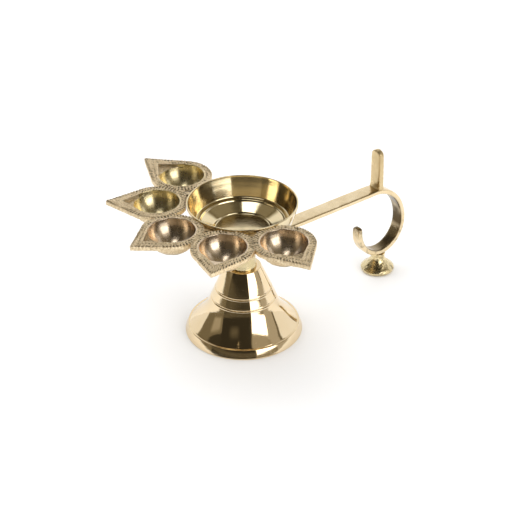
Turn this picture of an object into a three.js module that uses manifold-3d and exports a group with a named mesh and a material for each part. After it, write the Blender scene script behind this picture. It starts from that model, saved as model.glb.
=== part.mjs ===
// Five-wick brass hand lamp: a turned bell foot, a neck collar, an open oil bowl with a fan of
// five leaf-shaped wick cups round its front, and a flat strap handle with a thumb rest, a
// finger hook and a small rest foot. Millimetres, +Z up, standing on Z = 0, handle along +X.

import * as THREE from 'three';
import { mergeVertices } from 'three/addons/utils/BufferGeometryUtils.js';
import Module from 'manifold-3d';

const wasm = await Module();
wasm.setup();

// ---- driving dimensions ----------------------------------------------------------------

const gap = 0.3;              // joint clearance left between any two pieces that touch
const sides = 48;             // facets round a large turned piece
const smallSides = 28;        // facets round a small turned piece

const bellRadius = 32.0;      // widest radius of the bell foot
const bellHeight = 40.2;      // table to the bell's crown
const bandHeight = 5.1;       // rounded band round the bell's lip
const bandInset = 1.8;        // how far the band rounds in towards its top
const bandLedge = 1.2;        // flat land on top of the band, outside the bell's flare
const bellWall = 1.8;
const lipWall = 2.4;          // the lip is left thicker than the bell's wall
const crownRadius = 9.8;      // flat crown that the collar stands on
const crownThickness = 3.2;
const ringDepth = 0.35;       // depth of the two incised rings
const ringHeights = [0.535, 0.675];  // where the rings lie, as shares of the bell's height

const collarLength = 11.8;
const collarBottomRadius = 7.3;
const collarTopRadius = 6.8;

const strapThickness = 2.7;
const barWidth = 9.5;
const eyeRadius = 8.0;        // round eye that the stud passes through
const handleReach = 96.2;     // lamp axis to the back of the thumb rest

const thumbThickness = 3.5;
const thumbWidth = 8.4;
const thumbTopWidth = 7.6;
const thumbHeight = 23.0;     // above the bar

const hookWidth = 8.0;
const hookTipWidth = 5.8;
const hookShoulder = 6.2;     // back of the thumb rest forward to where the strap starts to bend
const restHeight = 11.65;     // table up to the underside of the hook
const hookBellyHeight = 17.0; // lowest point up to the widest point of the hook
const hookFront = 16.1;       // lowest point forward to the tip side
const hookBack = 15.3;        // lowest point back to the far side
const hookTipRise = 2.6;      // straight rise of the tip above the widest point

const restRadius = 9.7;
const restStemRadius = 4.1;
const restRimHeight = 2.2;

const bowlRadius = 29.5;      // outside of the bowl's lip
const bowlDepth = 16.0;       // lip down to the flat floor inside
const bowlWall = 1.3;
const lipThickness = 0.9;
const ridgeRadius = 22.7;     // turned ridge between the wall and the lower dish
const ridgeDepth = 11.5;
const ridgeLand = 2.2;        // flat width of the ridge
const floorRadius = 14.9;
const bowlFootRadius = 8.4;
const bowlFootHeight = 5.2;

const leafCount = 5;
const cupRadius = 12.2;       // inside radius of a wick cup
const cupDepth = 11.3;
const cupWall = 1.3;
const cupLand = 3.3;          // metal between a cup and the bowl, and half of that between cups
const rimWidth = 4.3;         // width of the leaf's flat rim round the cup
const leafThickness = 2.5;
const leafDrop = 0.5;         // bowl lip down to the leaves' top faces
const leafPoint = 26.6;       // cup centre out to the leaf's tip
const tipTrim = [2.2, 0.4, -0.7, -0.6, -0.2];   // hand-filed tips differ a little from leaf to leaf
const channelPoint = 18.0;    // cup centre out to the point of the wick channel
const channelDeep = 2.0;      // channel depth where it opens into the cup
const channelShallow = 1.2;   // channel depth at its point
const flushWebDrop = 0.3;     // leaf top down to a filled web
const sunkWebDrop = 1.7;      // leaf top down to a sunken web
const webThickness = 2.0;

const studRadius = 2.5;
const studGrip = 4.5;         // length of stud inside the bowl's foot
const washerRadius = 6.2;
const washerThickness = 1.2;
const nutAcrossFlats = 8.0;
const nutHeight = 4.0;
const studTail = 3.0;         // stud standing out below the nut

// ---- heights and places that follow ------------------------------------------------------

const boreRadius = studRadius + gap;
const collarBottom = bellHeight + gap;
const barBottom = collarBottom + collarLength + gap;
const barTop = barBottom + strapThickness;
const barMiddle = (barBottom + barTop) / 2;
const bowlFootBottom = barTop + gap;
const bowlUnderside = bowlFootBottom + bowlFootHeight;
const bowlFloor = bowlUnderside + bowlWall + 0.9;
const lipHeight = bowlFloor + bowlDepth;
const leafTop = lipHeight - leafDrop;
const leafBottom = leafTop - leafThickness;
const cupCentre = bowlRadius + cupLand + cupRadius;
const leafPitch = 2 * Math.asin((cupRadius + cupLand) / cupCentre);
const hookLowX = handleReach + 0.8;
const hookLowZ = restHeight + strapThickness / 2;
const hookBellyZ = hookLowZ + hookBellyHeight;
const hookBarX = handleReach - hookShoulder;

// ---- solids --------------------------------------------------------------------------------

// Joins doubled corners and drops the triangles that close up to nothing at a pole.
function welded(geometry) {
  const bare = geometry.clone();
  bare.deleteAttribute('normal');
  bare.deleteAttribute('uv');
  const merged = mergeVertices(bare, 1e-4);
  const index = merged.index.array;
  const kept = [];
  for (let i = 0; i < index.length; i += 3) {
    const [a, b, c] = [index[i], index[i + 1], index[i + 2]];
    if (a !== b && b !== c && c !== a) kept.push(a, b, c);
  }
  merged.setIndex(kept);
  return merged;
}

function solid(geometry) {
  const mesh = welded(geometry);
  return new wasm.Manifold(new wasm.Mesh({
    numProp: 3,
    vertProperties: new Float32Array(mesh.attributes.position.array),
    triVerts: new Uint32Array(mesh.index.array),
  }));
}

function geometryOf(body) {
  const mesh = body.getMesh();
  const geometry = new THREE.BufferGeometry();
  geometry.setAttribute('position', new THREE.BufferAttribute(mesh.vertProperties, 3));
  geometry.setIndex(new THREE.BufferAttribute(mesh.triVerts, 1));
  return geometry;
}

// Turns a profile of [radius, height] points, listed from the bottom up the outside, about Z.
function turned(profile, facets = sides) {
  const points = profile.map(([radius, height]) => new THREE.Vector2(radius, height));
  return new THREE.LatheGeometry(points, facets).rotateX(Math.PI / 2);
}

// A ring profile comes back to its first point.
function turnedRing(profile, facets = sides) {
  return turned([...profile, profile[0]], facets);
}

function prism(shape, bottom, top, curveSegments = 18) {
  const depth = top - bottom;
  const geometry = new THREE.ExtrudeGeometry(shape, { depth, bevelEnabled: false, curveSegments });
  return geometry.translate(0, 0, bottom);
}

// A profile drawn in X and Z, carried across the lamp from Y = -width / 2 to width / 2.
function sidePrism(shape, width) {
  return prism(shape, -width / 2, width / 2).rotateX(Math.PI / 2);
}

function curvePoints(points, divisions) {
  const curve = new THREE.SplineCurve(points.map(([r, z]) => new THREE.Vector2(r, z)));
  return curve.getPoints(divisions).map((p) => [p.x, p.y]);
}

// ---- foot and neck ---------------------------------------------------------------------------

// The bell sweeps in from the lip to the crown; [radius, height] as shares of the two spans.
const bellSweep = [
  [1, 0], [0.763, 0.128], [0.54, 0.295], [0.384, 0.505], [0.227, 0.715], [0.08, 0.905], [0, 1],
];

function bellPoints(lowRadius, lowHeight, topRadius, topHeight, divisions) {
  const radial = lowRadius - topRadius;
  const rise = topHeight - lowHeight;
  return curvePoints(bellSweep.map(([r, z]) => [topRadius + r * radial, lowHeight + z * rise]), divisions);
}

// Cuts a shallow V at each ring height into the list of outside points.
function withRings(points) {
  const halfWidth = 0.5;
  const cut = [...points];
  for (const share of ringHeights) {
    const height = share * bellHeight;
    const above = cut.findIndex(([, z]) => z > height);
    const [r0, z0] = cut[above - 1];
    const [r1, z1] = cut[above];
    const radiusAt = (z) => r0 + (r1 - r0) * (z - z0) / (z1 - z0);
    const ring = [
      [radiusAt(height - halfWidth), height - halfWidth],
      [radiusAt(height) - ringDepth, height],
      [radiusAt(height + halfWidth), height + halfWidth],
    ];
    const before = cut.slice(0, above).filter(([, z]) => z < height - halfWidth - 0.2);
    const after = cut.slice(above).filter(([, z]) => z > height + halfWidth + 0.2);
    cut.splice(0, cut.length, ...before, ...ring, ...after);
  }
  return cut;
}

function baseBell() {
  const ledge = bellRadius - bandInset;
  const flare = ledge - bandLedge;
  const outside = withRings(bellPoints(flare, bandHeight + 0.25, crownRadius, bellHeight, 18));
  const ceiling = bellHeight - crownThickness;
  const inside = bellPoints(flare - 0.8 * bellWall, bandHeight - 0.6, crownRadius - 0.6, ceiling, 10);
  return turnedRing([
    [bellRadius - 0.5, 0],
    [bellRadius - 0.1, 0.25],
    [bellRadius, 0.7],
    [ledge + 0.1, bandHeight - 0.3],
    [ledge - 0.2, bandHeight],
    ...outside,
    [boreRadius, bellHeight],
    [boreRadius, ceiling],
    ...inside.reverse(),
    [bellRadius - lipWall - 0.8, 0],
  ]);
}

function neckCollar() {
  const top = collarBottom + collarLength;
  return turnedRing([
    [collarBottomRadius, collarBottom],
    [collarBottomRadius - 0.2, collarBottom + 1],
    [collarTopRadius, collarBottom + 0.5 * collarLength],
    [collarTopRadius, top],
    [boreRadius, top],
    [boreRadius, collarBottom],
  ], smallSides);
}

// ---- stud, washer and nut that draw the stack together -----------------------------------------

const washerTop = bellHeight - crownThickness - gap;
const nutTop = washerTop - washerThickness - gap;
const studBottom = nutTop - nutHeight - studTail;
const studTop = bowlFootBottom + studGrip;

function centreStud() {
  return turned([
    [0, studBottom],
    [studRadius - 0.5, studBottom],
    [studRadius, studBottom + 0.5],
    [studRadius, studTop - 0.5],
    [studRadius - 0.5, studTop],
    [0, studTop],
  ], smallSides);
}

function nutWasher() {
  return turnedRing([
    [washerRadius, washerTop - washerThickness],
    [washerRadius, washerTop],
    [boreRadius, washerTop],
    [boreRadius, washerTop - washerThickness],
  ], smallSides);
}

function studNut() {
  const corner = nutAcrossFlats / Math.sqrt(3);
  const shape = new THREE.Shape();
  for (let i = 0; i < 6; i += 1) {
    const angle = i * Math.PI / 3;
    const [x, y] = [corner * Math.cos(angle), corner * Math.sin(angle)];
    if (i === 0) shape.moveTo(x, y);
    else shape.lineTo(x, y);
  }
  shape.closePath();
  shape.holes.push(new THREE.Path().absarc(0, 0, boreRadius, 0, 2 * Math.PI, true));
  return prism(shape, nutTop - nutHeight, nutTop, smallSides);
}

// ---- oil bowl --------------------------------------------------------------------------------

// Outside of the bowl from its foot up to the lip, moved out by a clearance where asked.
function bowlOutside(clearance = 0) {
  const ridgeZ = lipHeight - ridgeDepth;
  return curvePoints([
    [bowlFootRadius + clearance, bowlUnderside - clearance],
    [floorRadius + 0.6 + clearance, bowlFloor - bowlWall - clearance],
    [ridgeRadius + ridgeLand + 0.4 + clearance, ridgeZ - 0.9 * bowlWall - 0.5 * clearance],
    [(ridgeRadius + bowlRadius) / 2 + 1.6 + clearance, ridgeZ + 0.42 * ridgeDepth],
    [bowlRadius + clearance, lipHeight - 0.6],
  ], 14);
}

function oilBowl() {
  const ridgeZ = lipHeight - ridgeDepth;
  const lipInside = bowlRadius - lipThickness;
  const wall = curvePoints([
    [lipInside, lipHeight - 0.5],
    [(ridgeRadius + lipInside) / 2 + 0.85, ridgeZ + 0.42 * ridgeDepth],
    [ridgeRadius + ridgeLand, ridgeZ + 0.1],
  ], 6);
  return turned([
    [0, bowlFootBottom + studGrip + gap],
    [boreRadius, bowlFootBottom + studGrip + gap],
    [boreRadius, bowlFootBottom],
    [bowlFootRadius, bowlFootBottom],
    [bowlFootRadius, bowlFootBottom + 1],
    [bowlFootRadius - 1, bowlFootBottom + 2],
    [bowlFootRadius - 1, bowlUnderside - 1],
    ...bowlOutside(),
    [bowlRadius - 0.3, lipHeight],
    [lipInside + 0.3, lipHeight],
    ...wall,
    [ridgeRadius, ridgeZ],
    [floorRadius, bowlFloor + 0.5],
    [floorRadius - 0.6, bowlFloor],
    [0, bowlFloor],
  ]);
}

// Everything that must stay clear for the bowl.
function bowlRoom() {
  return solid(turned([
    [0, bowlUnderside - gap],
    ...bowlOutside(gap),
    [bowlRadius + gap, lipHeight + 5],
    [0, lipHeight + 5],
  ]));
}

// ---- leaf cups -------------------------------------------------------------------------------

// Teardrop drawn along +X: round about the cup's centre, with straight flanks to a point.
function teardrop(radius, point) {
  const flank = Math.acos(radius / point);
  const shape = new THREE.Shape();
  shape.moveTo(cupCentre + point, 0);
  shape.lineTo(cupCentre + radius * Math.cos(flank), radius * Math.sin(flank));
  shape.absarc(cupCentre, 0, radius, flank, 2 * Math.PI - flank, false);
  shape.closePath();
  return shape;
}

// Half an ellipsoid hanging from a flat top, with a straight collar above the equator.
function hangingCup(radius, depth, equator, top) {
  const rings = 7;
  const profile = [];
  for (let i = 0; i <= rings; i += 1) {
    const angle = i / rings * Math.PI / 2;
    profile.push([radius * Math.sin(angle), equator - depth * Math.cos(angle)]);
  }
  profile.push([radius, top], [0, top]);
  return solid(turned(profile, 36).translate(cupCentre, 0, 0));
}

// Wedge cut from the channel's point down into the cup.
function channelCut() {
  const flank = Math.acos(cupRadius / channelPoint);
  const mouthX = cupCentre + cupRadius * Math.cos(flank);
  const mouthY = cupRadius * Math.sin(flank);
  const pointX = cupCentre + channelPoint;
  const shape = new THREE.Shape();
  shape.moveTo(pointX, 0);
  shape.lineTo(mouthX, mouthY);
  shape.lineTo(mouthX, -mouthY);
  shape.closePath();
  const wedge = prism(shape, leafTop - channelDeep, leafTop + 1);
  const position = wedge.attributes.position;
  for (let i = 0; i < position.count; i += 1) {
    const atPoint = Math.abs(position.getX(i) - pointX) < 1e-3;
    if (atPoint && position.getZ(i) < leafTop) position.setZ(i, leafTop - channelShallow);
  }
  return solid(wedge);
}

// Everything beyond the line halfway to the next leaf; side is +1 or -1.
function neighbourRoom(side) {
  const reach = 2 * (cupCentre + leafPoint);
  const block = new THREE.BoxGeometry(reach, reach, reach);
  block.translate(0, side * (reach / 2 - gap / 2), leafTop);
  block.rotateZ(side * leafPitch / 2);
  return solid(block);
}

function leafCup(index) {
  const point = leafPoint + tipTrim[index];
  let leaf = solid(prism(teardrop(cupRadius + rimWidth, point), leafBottom, leafTop));
  const shell = hangingCup(cupRadius + cupWall, cupDepth + cupWall, leafTop, leafTop);
  leaf = leaf.add(shell);
  leaf = leaf.subtract(hangingCup(cupRadius, cupDepth, leafTop, leafTop + 2));
  leaf = leaf.subtract(channelCut());
  leaf = leaf.subtract(bowlRoom());
  if (index > 0) leaf = leaf.subtract(neighbourRoom(-1));
  if (index < leafCount - 1) leaf = leaf.subtract(neighbourRoom(1));
  return geometryOf(leaf);
}

const middleLeaf = (leafCount - 1) / 2;
const leafAngle = (index) => Math.PI + (index - middleLeaf) * leafPitch;

// Brazed web in the curved triangle between the bowl and two leaves, drawn along +X.
function leafWeb(top) {
  const half = leafPitch / 2;
  const inner = gap / 2 / Math.sin(half);
  const outer = cupCentre * Math.cos(half);
  const spread = (outer - inner) * Math.tan(half);
  const shape = new THREE.Shape();
  shape.moveTo(inner, 0);
  shape.lineTo(outer, -spread);
  shape.lineTo(outer, spread);
  shape.closePath();
  let web = solid(prism(shape, top - webThickness, top));
  for (const side of [-1, 1]) {
    const leaf = prism(teardrop(cupRadius + rimWidth + gap, leafPoint), leafBottom - 9, leafTop + 1);
    web = web.subtract(solid(leaf.rotateZ(side * half)));
  }
  return geometryOf(web.subtract(bowlRoom()));
}

// ---- handle ----------------------------------------------------------------------------------

// Middle line of the hook in X and Z: out of the bar, round the far side, under, up to the tip.
function hookLine() {
  const steps = 10;
  const arc = (centreX, centreZ, acrossX, acrossZ, from, to) => {
    const points = [];
    for (let i = 0; i < steps; i += 1) {
      const angle = from + (to - from) * i / steps;
      points.push([centreX + acrossX * Math.cos(angle), centreZ + acrossZ * Math.sin(angle)]);
    }
    return points;
  };
  const farX = hookLowX + hookBack;
  const quarter = Math.PI / 2;
  return [
    ...arc(hookBarX, hookBellyZ, farX - hookBarX, barMiddle - hookBellyZ, quarter, 0),
    ...arc(hookLowX, hookBellyZ, hookBack, hookBellyHeight, 0, -quarter),
    ...arc(hookLowX, hookBellyZ, hookFront, hookBellyHeight, -quarter, -2 * quarter),
    [hookLowX - hookFront, hookBellyZ],
    [hookLowX - hookFront, hookBellyZ + hookTipRise],
  ];
}

// Outline of the hook in side view, a given distance each side of its middle line.
function hookOutline(offset) {
  const line = hookLine();
  const left = [];
  const right = [];
  line.forEach(([x, z], i) => {
    const [ax, az] = line[Math.max(i - 1, 0)];
    const [bx, bz] = line[Math.min(i + 1, line.length - 1)];
    const length = Math.hypot(bx - ax, bz - az);
    const [nx, nz] = i === 0 ? [0, 1] : [-(bz - az) / length, (bx - ax) / length];
    left.push(new THREE.Vector2(x + nx * offset, z + nz * offset));
    right.push(new THREE.Vector2(x - nx * offset, z - nz * offset));
  });
  const [tipX, tipZ] = line[line.length - 1];
  const cap = [];
  for (let i = 1; i < 6; i += 1) {
    const angle = i * Math.PI / 6;
    cap.push(new THREE.Vector2(tipX + offset * Math.cos(angle) * -1, tipZ + offset * Math.sin(angle)));
  }
  return new THREE.Shape([...left, ...cap, ...right.reverse()]);
}

// The strap narrows in width along the last half turn up to its tip.
function narrowed(geometry) {
  const position = geometry.attributes.position;
  for (let i = 0; i < position.count; i += 1) {
    const x = position.getX(i) - hookLowX;
    const z = position.getZ(i) - hookBellyZ;
    const turn = Math.atan2(-x, -z);
    const share = x < 0 && z < hookTipRise * 2 ? THREE.MathUtils.clamp(turn / (Math.PI / 2), 0, 1) : 0;
    const scale = THREE.MathUtils.lerp(1, hookTipWidth / hookWidth, THREE.MathUtils.smoothstep(share, 0, 1));
    position.setY(i, position.getY(i) * scale);
  }
  return geometry;
}

function handleStrap() {
  const eye = turned([[0, barBottom], [eyeRadius, barBottom], [eyeRadius, barTop], [0, barTop]], sides);
  const bar = new THREE.BoxGeometry(handleReach, barWidth, strapThickness);
  bar.translate(handleReach / 2, 0, barMiddle);
  const bore = turned([
    [0, barBottom - 1], [boreRadius, barBottom - 1], [boreRadius, barTop + 1], [0, barTop + 1],
  ], smallSides);
  const hook = narrowed(sidePrism(hookOutline(strapThickness / 2), hookWidth));
  return geometryOf(solid(eye).add(solid(bar)).add(solid(hook)).subtract(solid(bore)));
}

function thumbRest() {
  const radius = thumbTopWidth / 2;
  const top = thumbHeight - radius;
  const shape = new THREE.Shape();
  shape.moveTo(-thumbWidth / 2, 0);
  shape.lineTo(thumbWidth / 2, 0);
  shape.lineTo(radius, top);
  shape.absarc(0, top, radius, 0, Math.PI, false);
  shape.closePath();
  const lug = prism(shape, -thumbThickness, 0);
  lug.rotateX(Math.PI / 2).rotateZ(Math.PI / 2);
  return lug.translate(handleReach, 0, barTop + gap);
}

// Small turned foot under the hook, hollowed on top to the hook's own curve.
function restFoot() {
  const stemTop = hookLowZ + 0.3;
  const stemStart = stemTop - 4.2;
  const cone = curvePoints([
    [restRadius - 0.9, restRimHeight + 1.1],
    [restStemRadius + 2.1, restRimHeight + (stemStart - restRimHeight) * 0.5],
    [restStemRadius, stemStart],
  ], 6);
  const foot = solid(turned([
    [0, 0],
    [restRadius - 0.9, 0],
    [restRadius, 0.9],
    [restRadius, restRimHeight],
    ...cone,
    [restStemRadius, stemTop],
    [0, stemTop],
  ], smallSides).translate(hookLowX, 0, 0));
  const hookRoom = solid(sidePrism(hookOutline(strapThickness / 2 + gap), 3 * hookWidth));
  return geometryOf(foot.subtract(hookRoom));
}

// ---- finishes and assembly ---------------------------------------------------------------------

const polishedBrass = { color: 0xc9a85c, roughness: 0.12, metalness: 1 };
const satinBrass = { color: 0xcfb272, roughness: 0.32, metalness: 1 };
const castBrass = { color: 0xb89a63, roughness: 0.55, metalness: 1 };
const steel = { color: 0x9a9a98, roughness: 0.4, metalness: 1 };

const lamp = new THREE.Group();

function place(name, geometry, finish, turn = 0) {
  const mesh = new THREE.Mesh(geometry, new THREE.MeshStandardMaterial(finish));
  mesh.name = name;
  mesh.rotation.z = turn;
  lamp.add(mesh);
}

place('base_bell', baseBell(), polishedBrass);
place('neck_collar', neckCollar(), satinBrass);
place('handle_strap', handleStrap(), satinBrass);
place('thumb_rest', thumbRest(), satinBrass);
place('rest_foot', restFoot(), castBrass);
place('oil_bowl', oilBowl(), polishedBrass);
for (let i = 0; i < leafCount; i += 1) {
  place(`leaf_cup_${i + 1}`, leafCup(i), castBrass, leafAngle(i));
}
place('web_1_2', leafWeb(leafTop - flushWebDrop), castBrass, leafAngle(0.5));
place('web_3_4', leafWeb(leafTop - sunkWebDrop), castBrass, leafAngle(2.5));
place('web_4_5', leafWeb(leafTop - sunkWebDrop), castBrass, leafAngle(3.5));
place('centre_stud', centreStud(), steel);
place('nut_washer', nutWasher(), steel);
place('stud_nut', studNut(), steel);

// The lamp's box is centred over the origin: along the handle between the middle leaf's tip
// and the hook, and across it between the tips of the two outer leaves.
const tipReach = (index) => cupCentre + leafPoint + tipTrim[index];
const frontX = -tipReach(middleLeaf);
const backX = hookLowX + hookBack + strapThickness / 2;
const sideSpread = Math.sin(middleLeaf * leafPitch);
const sideY = (tipReach(0) - tipReach(leafCount - 1)) * sideSpread / 2;
lamp.position.set(-(frontX + backX) / 2, -sideY, 0);

export default lamp;
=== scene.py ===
import math

import bpy
import numpy as np
from mathutils import Matrix, Vector


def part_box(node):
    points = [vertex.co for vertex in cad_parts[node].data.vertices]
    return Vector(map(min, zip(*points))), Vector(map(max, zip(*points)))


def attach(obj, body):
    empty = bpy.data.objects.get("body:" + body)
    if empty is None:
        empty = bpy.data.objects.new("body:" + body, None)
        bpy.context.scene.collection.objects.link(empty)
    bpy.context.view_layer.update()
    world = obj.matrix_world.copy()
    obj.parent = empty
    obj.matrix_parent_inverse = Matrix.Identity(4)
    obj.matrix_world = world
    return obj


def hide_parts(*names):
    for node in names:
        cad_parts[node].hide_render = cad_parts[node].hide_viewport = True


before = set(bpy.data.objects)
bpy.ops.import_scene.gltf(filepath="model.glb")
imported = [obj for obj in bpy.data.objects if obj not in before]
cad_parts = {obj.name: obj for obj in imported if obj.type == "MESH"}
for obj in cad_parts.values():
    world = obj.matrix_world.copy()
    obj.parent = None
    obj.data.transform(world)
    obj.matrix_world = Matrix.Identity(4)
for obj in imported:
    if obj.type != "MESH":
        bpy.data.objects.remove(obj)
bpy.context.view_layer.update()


# ---- bell foot -------------------------------------------------------------------------------
# Heavy brass bell, cast thick, turned inside and out and mirror-polished outside. A chamfered
# band stiffens its lip, and two fine rings are cut round its waist with a pointed tool.

MM = 0.001                       # the pieces are drawn in millimetres from the lamp's axis
bell_low, bell_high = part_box("base_bell")
lamp_axis = np.array([(bell_low.x + bell_high.x) / 2, (bell_low.y + bell_high.y) / 2, 0.0])
bell_radius = (bell_high.x - bell_low.x) / 2 / MM
bell_height = bell_high.z / MM
stud_bore = 2.8


def smooth_through(points, per_span=14):
    """Catmull-Rom line: each span is the cubic through its two points whose end slopes are half
    the chord between the points on either side."""
    p = np.array(points, float)
    p = np.vstack([2 * p[0] - p[1], p, 2 * p[-1] - p[-2]])
    t = np.linspace(0, 1, per_span, endpoint=False)[:, None, None]
    a, b, c, d = p[:-3], p[1:-2], p[2:-1], p[3:]
    square, cube = 2 * a - 5 * b + 4 * c - d, 3 * b - 3 * c + d - a
    span = 0.5 * (2 * b + (c - a) * t + square * t**2 + cube * t**3)
    return np.vstack([span.transpose(1, 0, 2).reshape(-1, p.shape[1]), p[-2:-1]])


def rounded(corners, radius, steps=6):
    """Straight edges between corners, where each inner corner gives way to a quadratic curve
    that leaves and meets its two edges a radius away from the corner."""
    p = np.array(corners, float)
    corner = p[1:-1]
    ends = []
    for neighbour in (p[:-2], p[2:]):
        along = neighbour - corner
        length = np.linalg.norm(along, axis=1, keepdims=True)
        ends.append(corner + along / length * np.minimum(radius, 0.45 * length))
    t = np.linspace(0, 1, steps)[:, None, None]
    bend = (1 - t) ** 2 * ends[0] + 2 * t * (1 - t) * corner + t**2 * ends[1]
    return np.vstack([p[:1], bend.transpose(1, 0, 2).reshape(-1, p.shape[1]), p[-1:]])


def evened(line, step):
    """The same line with its points one step apart, measured along it."""
    run = np.concatenate([[0], np.cumsum(np.linalg.norm(np.diff(line, axis=0), axis=1))])
    at = np.linspace(0, run[-1], max(3, int(round(run[-1] / step)) + 1))
    return np.stack([np.interp(at, run, line[:, k]) for k in range(line.shape[1])], 1)


def relaxed(line, width):
    """The line averaged over a raised-cosine window, with its ends carried on by point
    reflection so that they stay where they are: no ripple is left in its curvature."""
    reach = width // 2
    window = 1 + np.cos(np.linspace(-np.pi, np.pi, width + 2)[1:-1])
    head = 2 * line[0] - line[reach:0:-1]
    tail = 2 * line[-1] - line[-2:-reach - 2:-1]
    longer = np.vstack([head, line, tail])
    return np.stack([np.convolve(column, window / window.sum(), "valid") for column in longer.T], 1)


def turned(profile, columns=160):
    """Surface of revolution: the point (radius, height) goes round as (r cos a, r sin a, h)."""
    angle = np.linspace(0, 2 * np.pi, columns, endpoint=False)
    radius, height = profile[:, :1], profile[:, 1:]
    return np.stack([radius * np.cos(angle), radius * np.sin(angle), height + 0 * angle], 2)


def skin(name, grid, material, replaces, ring=False, masks=None):
    """Closed mesh over a grid of points in millimetres from the lamp's axis. Columns always
    close round. Rows close into a ring, or else each end row is closed by a fan to its middle.
    The faces are turned to point outwards, by the sign of the volume that they enclose."""
    rows, columns = grid.shape[:2]
    index = np.arange(rows * columns).reshape(rows, columns)
    upper = np.roll(index, -1, 0) if ring else index[1:]
    lower = index if ring else index[:-1]
    quads = np.stack([lower, np.roll(lower, -1, 1), np.roll(upper, -1, 1), upper], 2)
    quads = quads.reshape(-1, 4)
    points = grid.reshape(-1, 3)
    fans = np.zeros((0, 3), int)
    if not ring:
        points = np.vstack([points, grid[0].mean(0), grid[-1].mean(0)])
        first = np.stack([np.roll(index[0], -1), index[0], np.full(columns, rows * columns)], 1)
        last = np.stack([index[-1], np.roll(index[-1], -1), np.full(columns, rows * columns + 1)], 1)
        fans = np.vstack([first, last])
    triangles = np.vstack([quads[:, [0, 1, 2]], quads[:, [0, 2, 3]], fans])
    corner = points[triangles]
    volume = np.einsum("ij,ij->i", corner[:, 0], np.cross(corner[:, 1], corner[:, 2])).sum()
    if volume < 0:
        quads, fans = quads[:, ::-1], fans[:, ::-1]
    mesh = bpy.data.meshes.new(name)
    mesh.from_pydata((points * MM + lamp_axis).tolist(), [], quads.tolist() + fans.tolist())
    mesh.shade_smooth()
    for mask, values in (masks or {}).items():
        values = np.broadcast_to(values, (rows, columns)).ravel()
        values = np.concatenate([values, [values[0], values[-1]]]) if not ring else values
        attribute = mesh.attributes.new(mask, "FLOAT", "POINT")
        attribute.data.foreach_set("value", values.astype(np.float32))
    mesh.materials.append(material)
    piece = bpy.data.objects.new(name, mesh)
    bpy.context.scene.collection.objects.link(piece)
    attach(piece, "root")
    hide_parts(*([replaces] if isinstance(replaces, str) else replaces))
    return piece


def new_material(name):
    """An empty principled metal: (material, its nodes, its link function, the shader)."""
    material = bpy.data.materials.new(name)
    material.use_nodes = True
    nodes = material.node_tree.nodes
    shader = nodes["Principled BSDF"]
    shader.inputs["Metallic"].default_value = 1.0
    return material, nodes, material.node_tree.links.new, shader


def noise_on(nodes, link, vector, scale, detail=3.0, rough=0.55, distortion=0.0):
    """Fractal noise over the vector, with that many cells to a metre."""
    texture = nodes.new("ShaderNodeTexNoise")
    texture.inputs["Scale"].default_value = scale
    texture.inputs["Detail"].default_value = detail
    texture.inputs["Roughness"].default_value = rough
    texture.inputs["Distortion"].default_value = distortion
    link(vector, texture.inputs["Vector"])
    return texture.outputs["Fac"]


def spread(nodes, link, value, low, high, from_low=0.3, from_high=0.7):
    """The value's middle range, stretched from low to high."""
    ranged = nodes.new("ShaderNodeMapRange")
    ranged.inputs["From Min"].default_value = from_low
    ranged.inputs["From Max"].default_value = from_high
    ranged.inputs["To Min"].default_value = low
    ranged.inputs["To Max"].default_value = high
    link(value, ranged.inputs["Value"])
    return ranged.outputs["Result"]


def blended(nodes, link, share, first, second):
    """Colour mix; first and second are colours or sockets, and share is a socket."""
    mix = nodes.new("ShaderNodeMix")
    mix.data_type = "RGBA"
    link(share, mix.inputs["Factor"])
    for socket, value in ((mix.inputs["A"], first), (mix.inputs["B"], second)):
        if isinstance(value, tuple):
            socket.default_value = (*value, 1.0)
        else:
            link(value, socket)
    return mix.outputs["Result"]


def bumped(nodes, link, height, strength, distance, under=None):
    """The normal, tipped by a height field, on top of another bump if one is given."""
    bump = nodes.new("ShaderNodeBump")
    bump.inputs["Strength"].default_value = strength
    bump.inputs["Distance"].default_value = distance
    link(height, bump.inputs["Height"])
    if under is not None:
        link(under, bump.inputs["Normal"])
    return bump.outputs["Normal"]


grime_and_shade = (0.10, 0.070, 0.035)      # dried metal polish and lamp soot, and also painted shade


def soiled_and_shaded(nodes, link, colour):
    """The colour, browned wherever the piece's mask says that polish and grime are left, and where shade
    is painted on.
    """
    dirt_and_shade = nodes.new("ShaderNodeAttribute")
    dirt_and_shade.attribute_name = "dirt_and_shade"
    return blended(nodes, link, dirt_and_shade.outputs["Fac"], colour, grime_and_shade)


def lathe_vector(nodes, link, centre):
    """Where the point is, then (distance from the turning axis, height, 0), on which a pattern
    runs round as tool marks do, and then the direction in which those marks run."""
    coords = nodes.new("ShaderNodeTexCoord")
    place = nodes.new("ShaderNodeMapping")
    place.inputs["Location"].default_value = (-centre[0], -centre[1], 0)
    link(coords.outputs["Object"], place.inputs["Vector"])
    parts = nodes.new("ShaderNodeSeparateXYZ")
    link(place.outputs["Vector"], parts.inputs["Vector"])
    flat = nodes.new("ShaderNodeCombineXYZ")
    link(parts.outputs["X"], flat.inputs["X"])
    link(parts.outputs["Y"], flat.inputs["Y"])
    length = nodes.new("ShaderNodeVectorMath")
    length.operation = "LENGTH"
    link(flat.outputs["Vector"], length.inputs[0])
    lathe = nodes.new("ShaderNodeCombineXYZ")
    link(length.outputs["Value"], lathe.inputs["X"])
    link(parts.outputs["Z"], lathe.inputs["Y"])
    back = nodes.new("ShaderNodeMath")
    back.operation = "MULTIPLY"
    back.inputs[1].default_value = -1.0
    link(parts.outputs["Y"], back.inputs[0])
    run = nodes.new("ShaderNodeCombineXYZ")
    link(back.outputs["Value"], run.inputs["X"])
    link(parts.outputs["X"], run.inputs["Y"])
    return coords.outputs["Object"], lathe.outputs["Vector"], run.outputs["Vector"]


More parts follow.
